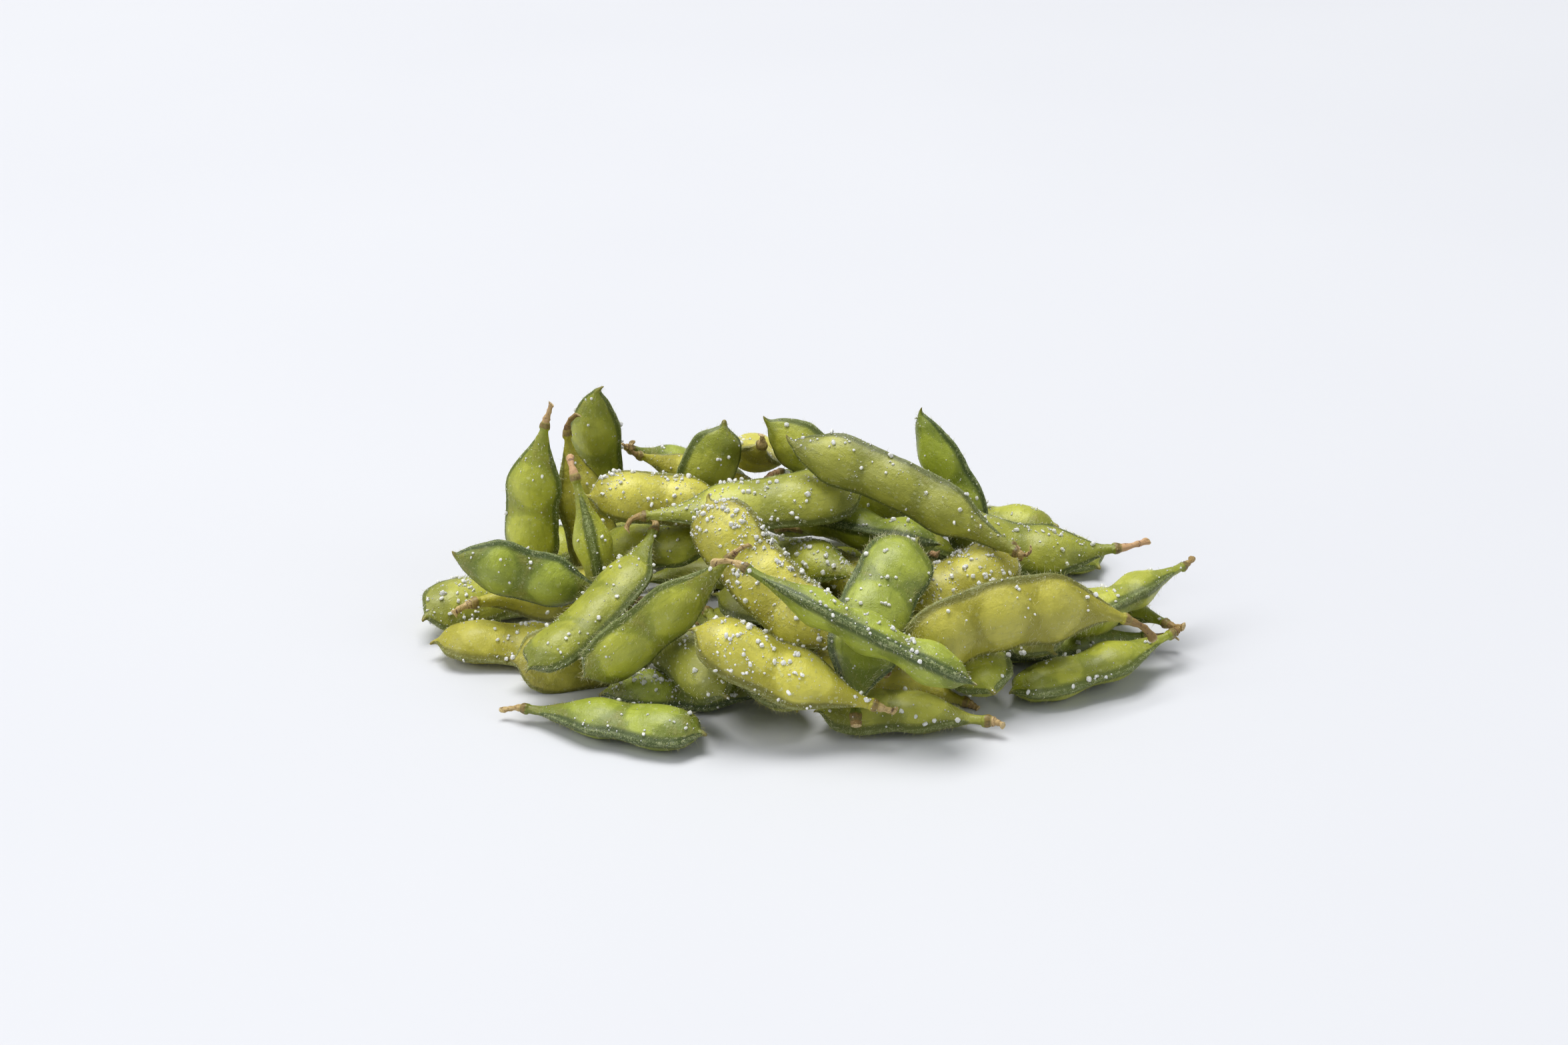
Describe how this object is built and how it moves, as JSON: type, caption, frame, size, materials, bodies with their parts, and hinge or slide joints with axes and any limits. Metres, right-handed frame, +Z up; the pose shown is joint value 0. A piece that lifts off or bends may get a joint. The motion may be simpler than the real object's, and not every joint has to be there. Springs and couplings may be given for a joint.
{
  "type": "edamame pod bundle",
  "caption": "Loose heap of cooked green soybean pods with bean bulges, seams, beaks and short cut stalks, lying on a flat surface",
  "frame": {"origin": "under the middle of the heap's bounding box, on the surface it lies on", "axes": "+X to the right along the heap's longest side, +Y away from the viewer, +Z up"},
  "size_m": [0.1822, 0.1268, 0.0544],
  "materials": {
    "skin_fresh": "waxy satin bean-pod skin, fresh green, brownish at the pinches, with fine pale flecks and short hairs",
    "skin_yellow": "waxy satin bean-pod skin, yellow-green, brownish at the pinches, with fine pale flecks and short hairs",
    "skin_deep": "waxy satin bean-pod skin, deep green, brownish at the pinches, with fine pale flecks and short hairs",
    "skin_olive": "waxy satin bean-pod skin, dull olive, brownish at the pinches, with fine pale flecks and short hairs"
  },
  "bodies": {
    "root": {"pod_01": "skin_yellow", "pod_02": "skin_deep", "pod_03": "skin_deep", "pod_04": "skin_yellow", "pod_05": "skin_olive", "pod_06": "skin_yellow", "pod_07": "skin_fresh", "pod_08": "skin_olive", "pod_09": "skin_fresh", "pod_10": "skin_deep", "pod_11": "skin_fresh", "pod_12": "skin_fresh", "pod_13": "skin_olive", "pod_14": "skin_yellow", "pod_15": "skin_yellow", "pod_16": "skin_fresh", "pod_17": "skin_fresh", "pod_18": "skin_olive", "pod_19": "skin_fresh", "pod_20": "skin_fresh", "pod_21": "skin_fresh", "pod_22": "skin_olive", "pod_23": "skin_fresh", "pod_24": "skin_fresh", "pod_25": "skin_fresh", "pod_26": "skin_fresh", "pod_27": "skin_fresh", "pod_28": "skin_fresh", "pod_29": "skin_deep", "pod_30": "skin_olive", "pod_31": "skin_olive", "pod_32": "skin_fresh", "pod_33": "skin_deep", "pod_34": "skin_fresh", "pod_35": "skin_fresh", "pod_36": "skin_yellow", "pod_37": "skin_fresh", "pod_38": "skin_fresh", "pod_39": "skin_olive", "pod_40": "skin_yellow", "pod_41": "skin_deep", "pod_42": "skin_fresh", "pod_43": "skin_yellow", "pod_44": "skin_fresh", "pod_45": "skin_deep", "pod_46": "skin_yellow", "pod_47": "skin_deep", "pod_48": "skin_yellow", "pod_49": "skin_deep", "pod_50": "skin_fresh", "pod_51": "skin_yellow", "pod_52": "skin_yellow", "pod_53": "skin_deep", "pod_54": "skin_yellow", "pod_55": "skin_deep", "pod_56": "skin_fresh", "pod_57": "skin_fresh", "pod_58": "skin_fresh", "pod_59": "skin_olive", "pod_60": "skin_olive"}
  },
  "joints": []
}
